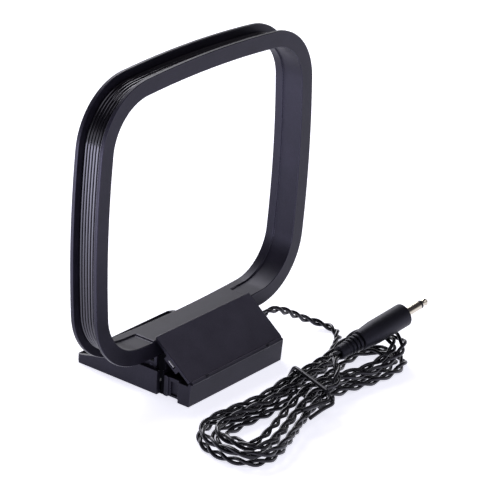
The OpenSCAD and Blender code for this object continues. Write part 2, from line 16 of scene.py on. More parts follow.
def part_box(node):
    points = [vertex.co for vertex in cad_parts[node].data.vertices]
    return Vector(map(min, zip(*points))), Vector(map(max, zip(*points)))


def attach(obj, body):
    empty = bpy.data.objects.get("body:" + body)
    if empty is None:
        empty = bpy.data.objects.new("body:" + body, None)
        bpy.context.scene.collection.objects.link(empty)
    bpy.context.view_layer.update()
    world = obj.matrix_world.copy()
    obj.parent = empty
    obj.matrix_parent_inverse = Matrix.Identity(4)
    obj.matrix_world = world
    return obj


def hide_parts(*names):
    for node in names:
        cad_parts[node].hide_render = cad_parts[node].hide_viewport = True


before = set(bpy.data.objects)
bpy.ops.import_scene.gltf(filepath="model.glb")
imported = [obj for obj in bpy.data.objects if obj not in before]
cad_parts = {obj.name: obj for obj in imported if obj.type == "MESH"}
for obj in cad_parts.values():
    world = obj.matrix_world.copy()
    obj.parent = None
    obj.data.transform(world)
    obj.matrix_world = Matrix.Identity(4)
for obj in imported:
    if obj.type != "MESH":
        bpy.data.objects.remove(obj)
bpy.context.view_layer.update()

MM = 0.001
print("parts:", sorted(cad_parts))

# %% [markdown]
# Modelling operators act on whatever is selected, so each step starts with nothing selected but its own piece.
# When a piece is done, its place goes into its mesh, doubled points are merged and its faces are turned
# outwards. Helpers do this each time, so that no step can forget it.

# %% Small helpers
def work_on(piece):
    """Leaves edit mode and selects this piece alone, or nothing at all."""
    if bpy.context.object and bpy.context.object.mode != "OBJECT":
        bpy.ops.object.mode_set(mode="OBJECT")
    bpy.ops.object.select_all(action="DESELECT")
    if piece:
        piece.select_set(True)
        bpy.context.view_layer.objects.active = piece


def primitive_done(name):
    """The primitive that was just added, with its name."""
    piece = bpy.context.object
    piece.name = name
    piece.data.name = name
    return piece


def settle(piece, smooth_angle=None, merge=1e-7):
    """Puts the piece's place into its mesh and merges points that are closer than merge, in metres."""
    work_on(piece)
    bpy.ops.object.transform_apply(location=True, rotation=True, scale=True)
    bpy.ops.object.mode_set(mode="EDIT")
    bpy.ops.mesh.select_all(action="SELECT")
    bpy.ops.mesh.remove_doubles(threshold=merge)
    bpy.ops.mesh.normals_make_consistent(inside=False)
    bpy.ops.object.mode_set(mode="OBJECT")
    if smooth_angle:
        bpy.ops.object.shade_smooth_by_angle(angle=math.radians(smooth_angle))
    print(piece.name, len(piece.data.polygons), "faces")


# %% [markdown]
# The camera stands well back with a long lens, so that the loop's sides stay nearly parallel in the picture.
# It could be aimed at a point by a constraint. Here its place and its three turns were worked out from the
# straight edges of the stand and the loop, so they are given as numbers.

# %% Camera
camera_place = Vector((-0.739488, -0.588773, 0.462048))
camera_yaw = math.radians(53.024)
camera_pitch = math.radians(23.562)
camera_roll = math.radians(3.217)
lens_mm, sensor_mm = 189.55, 36

away = Vector((-math.sin(camera_yaw) * math.cos(camera_pitch), -math.cos(camera_yaw) * math.cos(camera_pitch),
               math.sin(camera_pitch)))
level_right = Vector((math.cos(camera_yaw), -math.sin(camera_yaw), 0))
level_up = away.cross(level_right)
camera_right = math.cos(camera_roll) * level_right + math.sin(camera_roll) * level_up
camera_up = away.cross(camera_right)
camera_data = bpy.data.cameras.new("camera")
camera_data.lens = lens_mm
camera_data.sensor_width = sensor_mm
camera_data.clip_end = 20
camera = bpy.data.objects.new("camera", camera_data)
camera.matrix_world = Matrix((camera_right, camera_up, away)).transposed().to_4x4()
camera.location = camera_place
bpy.context.scene.collection.objects.link(camera)
bpy.context.scene.camera = camera
print("camera is", round(camera_place.length, 3), "m from the stand")

# %% [markdown]
# The lead is a twisted pair: two thin insulated wires laid round each other, one turn in 12 to 18 mm. It leaves
# the stand at the right, sinks to the table, runs round to the front and is wound into a hank. A short tail
# then leads over the hank to the plug. These free stretches could be left to a simulation, but they have to
# lie as in the photograph, so their points are listed one by one, in millimetres.

# %% The lead's free stretches
lead_start = (38, -13.6, 13.2)
lead_radius = 1.6
run_route = [lead_start, (41, -13.6, 13.2), (44.5, -14.1, 12.5), (48, -14.8, 11), (52, -15.6, 8.8),
             (56, -16.6, 6.4), (60, -18.2, 4.2), (63.4, -21, 2.6), (65, -24.8, 1.8), (64.4, -29, 1.6),
             (61.4, -33, 1.6), (57, -36.2, 1.6), (51, -39.2, 1.6), (44, -41.8, 1.6), (37, -43.8, 1.6),
             (30, -45.2, 1.9), (23.5, -46.2, 2.5), (17.5, -46.9, 3.1), (13, -47.3, 3.5)]
tail_route = [(12.5, -67.2, 8.1), (15.5, -66.1, 9.5), (18.5, -64.2, 10.5), (22, -60.9, 11),
              (25.5, -57.8, 11.1), (28.5, -55.7, 10.8)]
plug_at = Vector((32, -54.8, 11))
plug_turn, plug_tilt = math.radians(-8), math.radians(10)
plug_way = Vector((math.cos(plug_tilt) * math.cos(plug_turn), math.cos(plug_tilt) * math.sin(plug_turn),
                   math.sin(plug_tilt)))
print("free stretches:", len(run_route), "points to the hank,", len(tail_route), "to the plug")

# %% [markdown]
# The hank is too regular to place by hand and too long to simulate, so a formula draws it: an oval with a
# narrow waist, each turn inside the last, that then climbs and spirals out again on top of the first turns.
# Where the strands pile up near the waist there is a low hump, and the right end of the upper layer is propped
# on the layer below.

# %% The hank's line
hank_x, hank_y, hank_bend = 6, -57.5, 0.12
hank_half, waist_half, left_lobe, right_lobe = 61, 10, 30, 22
waist_step, left_step, right_step = 3.9, 6.2, 3.9
hank_turns, turn_points, hank_rise = 4.5, 24, 3.7
hump_x, hump_reach, hump_height = 10, 26, 1.8
prop_from, prop_to, prop_lift = 36, 66, 4.4
climb_after, climb_over = 0.04, 0.42
inner_turns = (hank_turns - 0.5) / 2


def ramp(t):
    """A soft step from 0 to 1 while t goes from 0 to 1."""
    u = max(0, min(1, t))
    return u * u * (3 - 2 * u)


def hank_oval(angle):
    """The outermost turn, seen from above. Its ends are the wide lobes and its middle is the waist."""
    c, s = math.cos(angle), math.sin(angle)
    x = hank_x + hank_half * c
    lobe = left_lobe if c < 0 else right_lobe
    return Vector((x, hank_y + hank_bend * min(0, x - hank_x) + s * (waist_half + lobe * c * c), 0))


def hank_point(turn):
    """The lead's centre after so many turns, counted from the back of the waist."""
    angle = math.pi / 2 + math.tau * turn
    step_angle = math.radians(1)
    inwards = min(turn, inner_turns, hank_turns - turn)
    c = math.cos(angle)
    spacing = waist_step + ((left_step if c < 0 else right_step) - waist_step) * c * c
    along = (hank_oval(angle + step_angle) - hank_oval(angle - step_angle)).normalized()
    p = hank_oval(angle) + inwards * spacing * Vector((-along.y, along.x, 0))
    upper = ramp((turn - inner_turns - climb_after) / climb_over)
    hump = 0
    if abs(p.x - hump_x) < hump_reach:
        hump = hump_height * (1 + math.cos(math.pi * (p.x - hump_x) / hump_reach)) / 2
    propped = ramp((p.x - prop_from) / (prop_to - prop_from))
    p.z = lead_radius + hank_rise * upper + hump + prop_lift * upper * propped
    return p


hank = [hank_point(i / turn_points) for i in range(round(hank_turns * turn_points) + 1)]
print("hank:", hank_turns, "turns,", len(hank), "points")

# %% [markdown]
# All the points are joined by one smooth curve. It is then divided again into equal steps, so that the twist
# which follows it runs evenly.

# %% The lead's centre line
def smooth_line(points, pieces=8):
    """A smooth curve through all the points."""
    p = [Vector(q) for q in points]
    p = [2 * p[0] - p[1]] + p + [2 * p[-1] - p[-2]]
    line = []
    for a, b, c, d in zip(p, p[1:], p[2:], p[3:]):
        for i in range(pieces):
            t = i / pieces
            line.append((2 * b + (c - a) * t + (2 * a - 5 * b + 4 * c - d) * t ** 2
                         + (3 * b - a - 3 * c + d) * t ** 3) / 2)
    return np.array([*line, p[-2]])


def evenly(line, spacing):
    """The same curve with its points the same distance apart, and its length."""
    steps = np.linalg.norm(np.diff(line, axis=0), axis=1)
    travelled = np.concatenate([[0], np.cumsum(steps)])
    places = np.linspace(0, travelled[-1], round(travelled[-1] / spacing) + 1)
    return np.stack([np.interp(places, travelled, line[:, k]) for k in range(3)], 1), travelled[-1]


line_spacing = 0.6
stub = 2 * lead_radius
into_hank = hank[0] - stub * (hank[1] - hank[0]).normalized()
out_of_hank = hank[-1] + stub * (hank[-1] - hank[-2]).normalized()
lead_points = [*run_route, into_hank, *hank, out_of_hank, *tail_route, plug_at - stub * plug_way, plug_at]
lead_line, lead_length = evenly(smooth_line(lead_points), line_spacing)
print("lead:", len(lead_line), "points,", round(lead_length, 1), "mm")

# %% [markdown]
# Each wire is swept along its own line: a curve with a round bevel, turned into a mesh. A circle extruded step
# by step would give the same, but the curve keeps its section square to the line by itself.

# %% Wires
def wire(name, points, diameter, sides=12):
    """A round wire through the points, in millimetres, with this many sides to its section."""
    curve = bpy.data.curves.new(name, "CURVE")
    curve.dimensions = "3D"
    curve.bevel_depth = diameter / 2 * MM
    curve.bevel_resolution = (sides - 4) // 2
    curve.use_fill_caps = True
    spline = curve.splines.new("POLY")
    spline.points.add(len(points) - 1)
    spline.points.foreach_set("co", np.c_[np.array(points) * MM, np.ones(len(points))].ravel())
    piece = bpy.data.objects.new(name, curve)
    bpy.context.scene.collection.objects.link(piece)
    work_on(piece)
    bpy.ops.object.convert(target="MESH")
    piece = bpy.context.object
    piece.data.name = name
    settle(piece, 60, merge=1e-6)
    return piece


# %% [markdown]
# To twist the pair, a small frame is carried along the centre line without spinning, and the two wires go round
# it half a turn apart. Twisting a straight pair and bending it afterwards would squash it in the tight turns.
# The twist is closer near the stand than in the hank, and the gap between the wires opens and closes a little,
# as in a pair twisted by a simple machine. The two wires are then joined, because together they are one cord.

# %% Twisted pair
def carried_frame(line, first):
    """Two directions square to the line at each point, that never spin round it."""
    ways = np.gradient(line, axis=0)
    ways /= np.linalg.norm(ways, axis=1)[:, None]
    side = np.array(first, float)
    side_ways = []
    for way in ways:
        side = side - way * (side @ way)
        side /= np.linalg.norm(side)
        side_ways.append(side)
    side_ways = np.array(side_ways)
    return side_ways, np.cross(ways, side_ways)


strand_diameter, strand_offset = 1.5, 0.79
tight_pitch, loose_pitch, tight_until, loose_from = 12, 18, 130, 220
slack, slack_period, firm_ends = 0.14, 41, 12
lead_side, lead_across = carried_frame(lead_line, (0, 0, 1))
distance = np.linspace(0, lead_length, len(lead_line))
away_from_ends = np.clip(np.minimum(distance, lead_length - distance) / firm_ends, 0, 1)[:, None]
opening = (0.5 + 0.5 * np.sin(math.tau * distance / slack_period))[:, None]
open_by = strand_offset + slack * away_from_ends * opening
twist_pitch = np.interp(distance, (tight_until, loose_from), (tight_pitch, loose_pitch))
turns_so_far = np.cumsum(np.gradient(distance) / twist_pitch)
strands = []
for start_angle in (0, math.pi):
    strand_angle = math.tau * turns_so_far + start_angle
    offset = open_by * (np.cos(strand_angle)[:, None] * lead_side + np.sin(strand_angle)[:, None] * lead_across)
    strands.append(wire("twisted_lead", lead_line + offset, strand_diameter, sides=10))
work_on(strands[0])
strands[1].select_set(True)
bpy.ops.object.join()
lead = strands[0]
lead.name = "twisted_lead"
print("the pair has", len(lead.data.polygons), "faces")

# %% [markdown]
# The plug is a set of turned shapes on one axis. A turned shape is easiest to make like a pot: half of its
# outline is drawn once and spun round the axis. A stack of cylinders would need each joint tidied by hand.

# %% Turned shapes
barrel_radius, barrel_length, cone_length, boot_length = 4.85, 17.9, 7.6, 11.4
collar_length, pin_radius, pin_length, ring_at, ring_length = 0.3, 1.75, 14, 9, 0.8
plug_length = boot_length + cone_length + barrel_length + collar_length


def turned_piece(name, outline, steps=64):
    """Spins an outline of (distance along, radius) pairs round the plug's axis."""
    mesh = bpy.data.meshes.new(name)
    edges = [(i, i + 1) for i in range(len(outline) - 1)]
    mesh.from_pydata([(x * MM, r * MM, 0) for x, r in outline], edges, [])
    piece = bpy.data.objects.new(name, mesh)
    bpy.context.scene.collection.objects.link(piece)
    work_on(piece)
    bpy.ops.object.mode_set(mode="EDIT")
    bpy.ops.mesh.select_all(action="SELECT")
    bpy.ops.mesh.spin(steps=steps, angle=math.tau, center=(0, 0, 0), axis=(1, 0, 0))
    bpy.ops.object.mode_set(mode="OBJECT")
    shoulder = (plug_at + plug_way * plug_length) * MM
    piece.matrix_world = (Matrix.Translation(shoulder) @ Matrix.Rotation(plug_turn, 4, "Z")
                          @ Matrix.Rotation(-plug_tilt, 4, "Y"))
    settle(piece, 35, merge=1e-6)
    return piece


def arc(x, r, radius, start, end, steps=4):
    """Points on a small arc in the outline, from one bearing to another in degrees."""
    bearings = [math.radians(start + (end - start) * i / steps) for i in range(steps + 1)]
    return [(x + radius * math.cos(b), r + radius * math.sin(b)) for b in bearings]


print("plug without its pin is", round(plug_length, 1), "mm long")

# %% [markdown]
# The grip is one soft moulding: a barrel, a cone, and a boot whose ribs let the lead bend. Its outline is drawn
# from the front face backwards, and every corner is a small arc, because a soft moulding has no sharp edge.

# %% Plug's grip
face_x = -collar_length
cone_x = face_x - barrel_length
boot_x = cone_x - cone_length
boot_end = boot_x - boot_length
face_round, cone_end_round, boot_round = 0.45, 0.4, 0.5
moulding = [(face_x - 0.4, 0), (face_x - 0.4, 2.1), (face_x, 2.3)]
moulding += arc(face_x - face_round, barrel_radius - face_round, face_round, 0, 90)
moulding += [(cone_x + 1.5, barrel_radius), (cone_x + 0.5, barrel_radius - 0.02),
             (cone_x - 0.5, barrel_radius - 0.12)]
moulding += arc(boot_x + cone_end_round, 3.7, cone_end_round, 90, 180)
rib_count, groove_pitch, groove_width, groove_radius, groove_start = 4, 1.9, 0.75, 2.7, boot_x - 0.1
first_rib_radius, rib_taper, rib_round, rib_slope = 3.62, 0.16, 0.25, 0.05
for i in range(rib_count):
    left = groove_start - i * groove_pitch
    shoulder_radius = first_rib_radius - rib_taper * i - rib_round
    moulding += [(left, groove_radius), (left - groove_width, groove_radius)]
    moulding += arc(left - groove_width - rib_round, shoulder_radius, rib_round, 0, 90, 3)
    moulding += arc(left - groove_pitch + rib_round, shoulder_radius - rib_slope, rib_round, 90, 180, 3)
neck_x = groove_start - rib_count * groove_pitch
moulding += [(neck_x, 2.9), (neck_x - 0.5, 2.95)]
moulding += arc(boot_end + boot_round, 2.3, boot_round, 90, 180)
moulding += [(boot_end, 1.5), (boot_end + 1, 1.3), (boot_end + 1, 0)]
plug_body = turned_piece("plug_moulding", moulding)

# %% [markdown]
# The pin has two poles: a sleeve and a tip with a waist, where the jack's spring snaps in. A black ring keeps
# them apart. Inside the grip a hard core holds the solder ends. It never shows, so it is drawn plainly.

# %% Plug's pin and core
sleeve = turned_piece("plug_sleeve_pole", [(-3, 0), (-3, pin_radius), (ring_at - 0.15, pin_radius),
                                           (ring_at, pin_radius - 0.15), (ring_at, 0)])
ring = turned_piece("plug_black_ring", [(ring_at, 0), (ring_at, 1.7), (ring_at + 0.1, pin_radius),
                                        (ring_at + ring_length - 0.1, pin_radius), (ring_at + ring_length, 1.7),
                                        (ring_at + ring_length, 0)])
tip_start, neck_end, shoulder_end = ring_at + ring_length, pin_length - 2.9, pin_length - 1.9
tip = turned_piece("plug_tip_pole", [(tip_start, 0), (tip_start, 1.45), (tip_start + 0.15, 1.55),
                                     (tip_start + 0.6, 1.45), (neck_end, 1.22), (shoulder_end - 0.1, 1.6),
                                     (shoulder_end + 0.1, 1.66), (shoulder_end + 0.3, 1.6),
                                     (pin_length - 0.3, 0.5), (pin_length - 0.08, 0.3), (pin_length, 0)])
core_outline = [(-9, 0), (-9, 3), (-8.7, 3.3), (-2.2, 3.3), (-1.9, 3), (-1.9, 0)]
core = turned_piece("plug_solder_core", core_outline, steps=32)

# %% [markdown]
# The hank is held by a short piece of coated wire, wrapped once round the waist. It is pulled tight, so its line
# is worked out from the lead: the places where the turns cross the tie's slanting plane, and round them all the
# shortest loop that keeps clear. It leans a little as it goes round, so that its two ends pass each other.

# %% Tie's wrap
tie_diameter, tie_above_table = 1.6, 0.03
tie_x, tie_slant, tie_clear = 8.5, 0.36, 0.06
slice_half, slice_reach = 0.6, 16
tie_plane = np.array([1, -tie_slant, 0])
off_plane = (lead_line - (tie_x, hank_y, 0)) @ tie_plane
in_reach = np.abs(lead_line[:, 1] - hank_y) < slice_reach
crossing = lead_line[(np.abs(off_plane) < slice_half) & in_reach]
around = lead_radius + tie_diameter / 2 + tie_clear
lean_from, lean_to, lean_by, lean_start = -60, 170, 0.9, -0.2


def wrap_point(bearing_degrees, shift=0):
    """The loop's furthest point from the waist towards a bearing: 0 is backwards and 90 is up."""
    a = math.radians(bearing_degrees)
    way = np.array([0, math.cos(a), math.sin(a)])
    p = crossing[np.argmax(crossing @ way)] + around * way
    lowest = tie_diameter / 2 + tie_above_table
    return Vector((tie_x + (p[1] - hank_y) * tie_slant + shift, p[1], max(p[2], lowest)))


def wrap_lean(bearing_degrees):
    return lean_by * max(0, bearing_degrees - lean_from) / (lean_to - lean_from) + lean_start


wrap = [wrap_point(b, wrap_lean(b)) for b in range(-165, 191, 15)]
front = wrap_point(180)
print("tie: round", len(crossing), "places of the lead, front at", [round(v, 1) for v in front])

# %% [markdown]
# At the front the tie's ends are twisted together one and a half turns, and two tails point to the left. The
# twist is a short screw line, and the second wire follows the same line on the other side of its axis.

# %% Tie's knot and tails
knot = front + Vector((0.6, -2.0, 0.2))
twist_radius, twist_rise, twist_left, twist_back = 0.9, 0.75, 0.3, 0.6
twist = [knot + Vector((twist_radius * math.cos(t) - twist_left, twist_rise * t / math.pi - twist_back,
                        twist_radius * math.sin(t))) for t in np.linspace(0, 3 * math.pi, 13)]
other_twist = [Vector((2 * (knot.x - twist_left) - p.x, p.y, 2 * knot.z - p.z)) for p in twist]
upper_tail = [knot + Vector(step) for step in ((-3, -0.3, 0.3), (-9, 0.4, 0.8), (-17.5, 1.6, 0.9))]
lower_tail = [knot + Vector(step) for step in ((-2.6, -1.9, -0.4), (-8.5, -1.6, -0.8), (-16.5, -1.7, -1.6))]
wrap_end = front + Vector((0.9, -0.8, -0.4))
tie_lines = [[*wrap, wrap_end], [wrap[0], *twist[2::3], *upper_tail], [wrap_end, *other_twist[2::3], *lower_tail]]
tie_pieces = [wire("waist_tie", smooth_line(line), tie_diameter) for line in tie_lines]
work_on(tie_pieces[0])
for piece in tie_pieces[1:]:
    piece.select_set(True)
bpy.ops.object.join()
tie = tie_pieces[0]
print("tie:", len(tie_pieces), "lines, knot at", [round(v, 1) for v in knot])

# %% [markdown]
# Every surface gets its own material. Colours are picked as they look on a screen and turned to the linear
# values that a shader needs. One function adds a node with its settings and links, and the rest is read from
# top to bottom: where on the object, which pattern, how strong. Patterns read Object coordinates, so they stay
# put when a piece is moved or the view changes.

# %% Material helpers
def linear(hex_colour):
    """An sRGB hex colour as the linear values, with alpha, that a shader reads."""
    channels = [int(hex_colour[i:i + 2], 16) / 255 for i in (0, 2, 4)]
    return tuple(c / 12.92 if c <= 0.04045 else ((c + 0.055) / 1.055) ** 2.4 for c in channels) + (1,)


def per_mm(size):
    """The scale of a noise whose spots are about this many millimetres."""
    return 1 / (size * MM)


def add_node(tree, kind, inputs=None, **settings):
    node = tree.nodes.new(kind)
    for key, value in settings.items():
        setattr(node, key, value)
    for socket, value in (inputs or {}).items():
        if isinstance(value, bpy.types.NodeSocket):
            tree.links.new(value, node.inputs[socket])
        else:
            node.inputs[socket].default_value = value
    return node


def new_material(name, hex_colour, roughness, metallic=0.0):
    """A plain material, with its tree, its shader and the place on the object for patterns."""
    material = bpy.data.materials.new(name)
    material.use_nodes = True
    tree = material.node_tree
    shader = tree.nodes["Principled BSDF"]
    shader.inputs["Base Color"].default_value = linear(hex_colour)
    shader.inputs["Roughness"].default_value = roughness
    shader.inputs["Metallic"].default_value = metallic
    place = add_node(tree, "ShaderNodeTexCoord").outputs["Object"]
    return material, tree, shader, place


def cover(material, *pieces):
    for piece in pieces:
        piece.data.materials.clear()
        piece.data.materials.append(material)


# %% [markdown]
# The bobbin and the stand are ABS, moulded in a tool whose steel was spark eroded. That leaves a fine even
# grain, which makes the black look grey where light grazes it and breaks up every highlight. The real grain is
# about a twentieth of a millimetre, too fine to show, so it is drawn ten times as coarse. A slow cloud of 9 mm
# varies the tone a little. The pigment is a cool black. The blue tint of its reflections is painted: it stands in
# for the pale lilac shade on the table that the faces mirror. Two variants are painted light as well: a darker
# one without gloss is painted shade for faces in recesses, and a paler one is a painted sheen.

# %% Moulded ABS
abs_grain_mm, abs_cloud_mm = 0.5, 9


def moulded_abs(name, dark, light, roughness, gloss):
    material, tree, shader, place = new_material(name, dark, roughness)
    shader.inputs["Specular IOR Level"].default_value = gloss
    # Painted reflection colour: the blue tint stands in for the lilac shade on the table.
    shader.inputs["Specular Tint"].default_value = linear("dcd8ff")
    grain = add_node(tree, "ShaderNodeTexNoise", {"Vector": place, "Scale": per_mm(abs_grain_mm), "Detail": 2})
    cloud = add_node(tree, "ShaderNodeTexNoise", {"Vector": place, "Scale": per_mm(abs_cloud_mm), "Detail": 3})
    both = add_node(tree, "ShaderNodeMath", {0: grain.outputs["Fac"], 1: cloud.outputs["Fac"]}, operation="ADD")
    tone = add_node(tree, "ShaderNodeMath", {0: both.outputs[0], 1: 0.5}, operation="MULTIPLY")
    colour = add_node(tree, "ShaderNodeValToRGB", {"Fac": tone.outputs[0]})
    colour.color_ramp.elements[0].position = 0.35
    colour.color_ramp.elements[0].color = linear(dark)
    colour.color_ramp.elements[1].position = 0.65
    colour.color_ramp.elements[1].color = linear(light)
    tree.links.new(colour.outputs["Color"], shader.inputs["Base Color"])
    bump = add_node(tree, "ShaderNodeBump",
                    {"Strength": 0.35, "Distance": 0.02 * MM, "Height": grain.outputs["Fac"]})
    tree.links.new(bump.outputs["Normal"], shader.inputs["Normal"])
    return material


abs_plastic = moulded_abs("moulded_abs_fine_grain", "131219", "1f1d28", 0.42, 0.24)
# Paler colour: a painted sheen, for the panel's broad outer face.
abs_painted_sheen = moulded_abs("moulded_abs_painted_sheen", "3b3945", "454350", 0.42, 0.24)
abs_edge = moulded_abs("moulded_abs_smooth_edge", "14131b", "1e1d27", 0.24, 0.5)
# Darker colour and no gloss: painted shade, for faces in recesses and shadow.
abs_painted_shade = moulded_abs("moulded_abs_painted_shade", "0c0c10", "121217", 0.8, 0.0)
print("ABS finishes:", [m.name for m in (abs_plastic, abs_painted_sheen, abs_edge, abs_painted_shade)])

# %% [markdown]
# No moulded edge is sharp. A bevel rounds each edge where two faces meet at more than 30 degrees. Edges also
# come out of the tool smoother than faces, so the bevel gives its narrow new faces a glossier material, and they
# show as thin bright lines. Painting the lines by their place would miss the curved edges.

# %% Rounded edges
sharp_angle = math.radians(30)


def round_edges(piece, width, segments=3):
    """Rounds the edges of a piece of ABS by so many millimetres, and gives it its two materials."""
    work_on(piece)
    bpy.ops.object.shade_smooth()
    piece.data.materials.clear()
    piece.data.materials.append(abs_plastic)
    piece.data.materials.append(abs_edge)
    bevel = piece.modifiers.new("round_edges", "BEVEL")
    bevel.material = 1  # abs_edge
    bevel.width = width * MM
    bevel.segments = segments
    bevel.limit_method = "ANGLE"
    bevel.angle_limit = sharp_angle
    bevel.use_clamp_overlap = False
    bevel.harden_normals = True
    bevel.miter_outer = "MITER_ARC"
    bpy.ops.object.modifier_apply(modifier=bevel.name)


print("edges sharper than", round(math.degrees(sharp_angle)), "degrees are rounded")

# %% [markdown]
# The bobbin is one moulding: a rounded square whose sides all bow outwards a little. Its outline is eight arcs,
# four long bows and four corners. A square with rounded corners would be quicker, but its straight sides would
# look stiff. Places round the outline are worked out once, each with the direction that points straight out of
# it, so any line at a fixed depth inside the outline follows from them.

# %% The loop's outline
loop_low, loop_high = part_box("loop_frame")
loop_front, loop_back = loop_low.y / MM, loop_high.y / MM
loop_middle = (loop_front + loop_back) / 2
loop_height = 119.3
half_w, half_h = loop_high.x / MM, loop_height / 2
loop_z = loop_high.z / MM - half_h
corner_r, side_bow, top_bow, bottom_bow = 27, 1.3, 1.5, 1.1
pad_left, pad_right, pad_step = -29.8, 29.8, 0.3


def bow_radius(half_chord, bow):
    """The radius of an arc that rises by bow over a chord of twice half_chord."""
    return (half_chord * half_chord + bow * bow) / (2 * bow)


def corner_centre(c1, r1, c2, r2):
    """Where two circles cross, further right: the centre of a corner that runs smoothly into both bows."""
    between = c2 - c1
    d = between.length
    a = (r1 * r1 - r2 * r2 + d * d) / (2 * d)
    h = math.sqrt(r1 * r1 - a * a)
    middle = c1 + between * (a / d)
    sideways = Vector((-between.y, between.x)) * (h / d)
    return max((middle + sideways, middle - sideways), key=lambda p: p.x)


side_r = bow_radius(half_h - corner_r, side_bow)
top_r = bow_radius(half_w - corner_r, top_bow)
bottom_r = bow_radius(half_w - corner_r, bottom_bow)
side_c, top_c = Vector((half_w - side_r, 0)), Vector((0, half_h - top_r))
bottom_c = Vector((0, bottom_r - half_h))
upper_corner = corner_centre(side_c, side_r - corner_r, top_c, top_r - corner_r)
lower_corner = corner_centre(side_c, side_r - corner_r, bottom_c, bottom_r - corner_r)
print("bows have radii of", [round(r) for r in (side_r, top_r, bottom_r)], "mm")

# %% [markdown]
# Only the right half of the outline is worked out arc by arc. The left half is its mirror image, and the bottom
# bow gets places of its own, because the pad above the stand starts and ends on it.

# %% Places round the outline
def bearing(start, end):
    return math.atan2(end.y - start.y, end.x - start.x)


def arc_places(centre, radius, start, end, steps):
    """(place, outward direction) pairs along an arc, without its last one."""
    places = []
    for i in range(steps):
        a = start + (end - start) * i / steps
        out = Vector((math.cos(a), math.sin(a)))
        places.append((centre + radius * out, out))
    return places


arc_ends = [bearing(bottom_c, lower_corner), bearing(side_c, lower_corner), bearing(side_c, upper_corner),
            bearing(top_c, upper_corner), math.pi / 2]


def right_side(corner_steps, side_steps, top_steps):
    """Places up the right side, from the end of the bottom bow to just before the top's middle."""
    arcs = ((lower_corner, corner_r, corner_steps), (side_c, side_r, side_steps),
            (upper_corner, corner_r, corner_steps), (top_c, top_r, top_steps))
    return [place for (centre, radius, steps), start, end in zip(arcs, arc_ends, arc_ends[1:])
            for place in arc_places(centre, radius, start, end, steps)]


def mirrored(places):
    return [(Vector((-p.x, p.y)), Vector((-out.x, out.y))) for p, out in places]


def bottom_place(x):
    out = Vector((x, -math.sqrt(bottom_r ** 2 - x * x))) / bottom_r
    return bottom_c + bottom_r * out, out


right_half = right_side(18, 10, 6)
top_middle = (top_c + Vector((0, top_r)), Vector((0, 1)))
bottom_xs = [-37, pad_left - pad_step, pad_left, -20, -10, 0, 10, 20, pad_right, pad_right + pad_step, 37]
outline = [*right_half, top_middle, *mirrored(reversed(right_half)), *(bottom_place(x) for x in bottom_xs)]
print("outline:", len(outline), "places")

# %% [markdown]
# The bobbin's body is drawn from one ring of points on the outline. The ring is extruded again and again, and
# each new ring is moved to the next corner of the bobbin's section: across the front flange, down into the
# groove, along the hub, up the rear flange and back along the inner face. There a shallow band is sunk, except
# on the pad above the stand. A square block with holes cut in it would need a cut for every one of these steps.

# %% Loop body
rim_width, flange, groove_depth, band_depth, band_lip = 7.3, 1.6, 4.45, 0.6, 3.8
loop_rounding = 0.3


def section(on_pad):
    """Corners of the section as (depth inside the outline, y), from the front face round to it again."""
    sunk = 0 if on_pad else band_depth
    return [(0, loop_front), (0, loop_front + flange), (groove_depth, loop_front + flange),
            (groove_depth, loop_back - flange), (0, loop_back - flange), (0, loop_back),
            (rim_width, loop_back), (rim_width, loop_back - band_lip),
            (rim_width - sunk, loop_back - band_lip), (rim_width - sunk, loop_front), (0, loop_front)]


def place_ring(mesh, column, step):
    """Moves the selected ring to a corner of the section. Each vertex carries its number on the outline."""
    for vertex in mesh.verts:
        if vertex.select:
            place, out = outline[vertex[column]]
            depth, y = section(place.y < 0 and pad_left <= place.x <= pad_right)[step]
            p = place - out * depth
            vertex.co = Vector((p.x, y, p.y + loop_z)) * MM


work_on(None)
bpy.ops.mesh.primitive_circle_add(vertices=len(outline), radius=half_w * MM)
loop_body = primitive_done("loop_body")
bpy.ops.object.mode_set(mode="EDIT")
bpy.ops.mesh.select_all(action="SELECT")
edit = bmesh.from_edit_mesh(loop_body.data)
column = edit.verts.layers.int.new("column")
for i, vertex in enumerate(edit.verts):
    vertex[column] = i
place_ring(edit, column, 0)
for step in range(1, len(section(True))):
    bpy.ops.mesh.extrude_region()
    edit = bmesh.from_edit_mesh(loop_body.data)
    place_ring(edit, edit.verts.layers.int["column"], step)
bmesh.update_edit_mesh(loop_body.data)
bpy.ops.object.mode_set(mode="OBJECT")
settle(loop_body, merge=1e-6)
round_edges(loop_body, loop_rounding)
print("loop body", len(loop_body.data.polygons), "faces")

# %% [markdown]
# Two legs stand under the bobbin. Each is a plate with a notch at its top, where the winding passes. A polygon
# extruded once makes a plate, and the same helper makes the other flat pieces of the stand.

# %% Plates and the legs
def plate(name, outline_yz, x0, x1, rounding):
    """A plate from x0 to x1 with the given outline, a list of (y, z). All in millimetres."""
    work_on(None)
    bpy.ops.mesh.primitive_circle_add(vertices=len(outline_yz), radius=MM, fill_type="NGON")
    piece = primitive_done(name)
    for vertex, (y, z) in zip(piece.data.vertices, outline_yz):
        vertex.co = Vector((x0, y, z)) * MM
    bpy.ops.object.mode_set(mode="EDIT")
    bpy.ops.mesh.select_all(action="SELECT")
    bpy.ops.mesh.extrude_region_move(TRANSFORM_OT_translate={"value": ((x1 - x0) * MM, 0, 0)})
    bpy.ops.object.mode_set(mode="OBJECT")
    settle(piece)
    round_edges(piece, rounding)
    return piece


